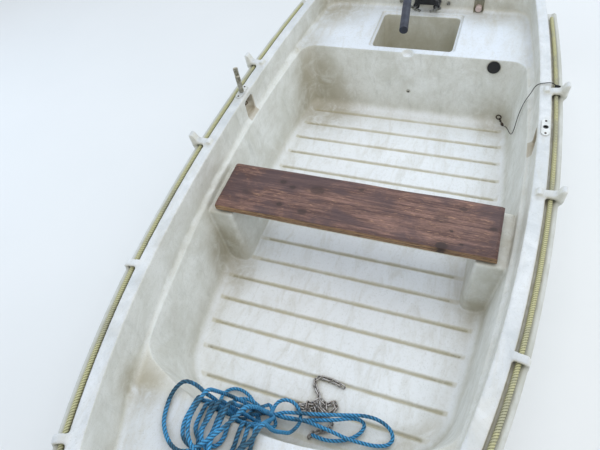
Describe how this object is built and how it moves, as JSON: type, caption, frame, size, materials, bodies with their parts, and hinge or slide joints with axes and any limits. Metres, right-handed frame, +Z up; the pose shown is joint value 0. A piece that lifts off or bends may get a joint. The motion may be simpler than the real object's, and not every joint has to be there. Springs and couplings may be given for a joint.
{
  "type": "rowing boat",
  "caption": "Double-skinned moulded rowing boat with a wooden thwart, grab ropes, rowlock fittings, a locker in the stern bench and a small outboard motor with a folding tiller.",
  "frame": {"origin": "on the centre plane, amidships, at the waterline that the empty boat floats to", "axes": "+X towards the bow, +Y to port, +Z up"},
  "size_m": [3.2432, 1.2846, 1.0855],
  "materials": {
    "hull_plastic": "weathered white polyethylene",
    "thwart_wood": "weathered red-brown timber",
    "grab_rope": "faded yellow laid rope",
    "socket_plastic": "white nylon",
    "rowlock_metal": "dull galvanised",
    "steel": "stainless",
    "black_plastic": "black plastic",
    "bung_plastic": "faded bung",
    "motor_paint": "dark paint",
    "tiller_paint": "navy paint",
    "cowl_plastic": "navy gloss",
    "engine_metal": "cast",
    "propeller_aluminium": "painted aluminium",
    "black_cord": "black braided cord",
    "mooring_rope": "blue laid rope",
    "chain_steel": "galvanised"
  },
  "bodies": {
    "boat": {"hull_moulding": "hull_plastic", "thwart_plank": "thwart_wood", "thwart_batten": "thwart_wood", "grab_rope_port": "grab_rope", "grab_rope_starboard": "grab_rope", "rowlock_socket_port": "socket_plastic", "rowlock_socket_starboard": "socket_plastic", "vent_plug": "black_plastic", "drain_screw": "steel", "transom_bung": "bung_plastic", "motor_pad": "black_plastic", "motor_pad_bolts": "steel", "clamp_bracket": "motor_paint", "clamp_screws": "steel", "tilt_pin": "steel", "bow_eye": "steel", "lanyard": "black_cord", "snap_hook": "black_plastic", "mooring_rope_seat": "mooring_rope", "mooring_rope_hanging": "mooring_rope", "mooring_rope_floor": "mooring_rope", "mooring_chain": "chain_steel"},
    "rowlock_body": {"rowlock": "rowlock_metal", "rowlock_split_ring": "steel"},
    "swivel": {"swivel_bracket": "motor_paint"},
    "motor": {"gearcase": "motor_paint", "motor_leg": "motor_paint", "anti_ventilation_plate": "motor_paint", "lower_cowl": "black_plastic", "upper_cowl": "cowl_plastic", "engine_block": "engine_metal", "fuel_cap": "black_plastic", "starter_handle": "black_plastic", "tiller_bracket": "motor_paint"},
    "propeller_body": {"propeller": "propeller_aluminium", "propeller_nut": "steel"},
    "tiller": {"tiller_arm": "tiller_paint", "tiller_grip": "black_plastic"}
  },
  "joints": [
    {"name": "rowlock_swivel", "type": "hinge", "parent": "boat", "child": "rowlock_body", "pos_m": [-0.56545, -0.56712, 0.42], "axis": [0, 0, 1], "continuous": true},
    {"name": "motor_tilt", "type": "hinge", "parent": "boat", "child": "swivel", "pos_m": [-1.496, 0.015, 0.428], "axis": [0, 1, 0], "range_deg": [0, 65]},
    {"name": "motor_steer", "type": "hinge", "parent": "swivel", "child": "motor", "pos_m": [-1.548, 0.015, 0.3], "axis": [0, 0, 1], "range_deg": [-40, 40]},
    {"name": "propeller_spin", "type": "hinge", "parent": "motor", "child": "propeller_body", "pos_m": [-1.668, 0.015, -0.212], "axis": [1, 0, 0], "continuous": true},
    {"name": "tiller_fold", "type": "hinge", "parent": "motor", "child": "tiller", "pos_m": [-1.412, -0.06, 0.556], "axis": [0.1339, -0.991, 0], "range_deg": [0, 90]}
  ],
  "couplings": [
    {"joint": "tiller_fold", "follows": "motor_tilt", "ratio": 1.3846}
  ]
}
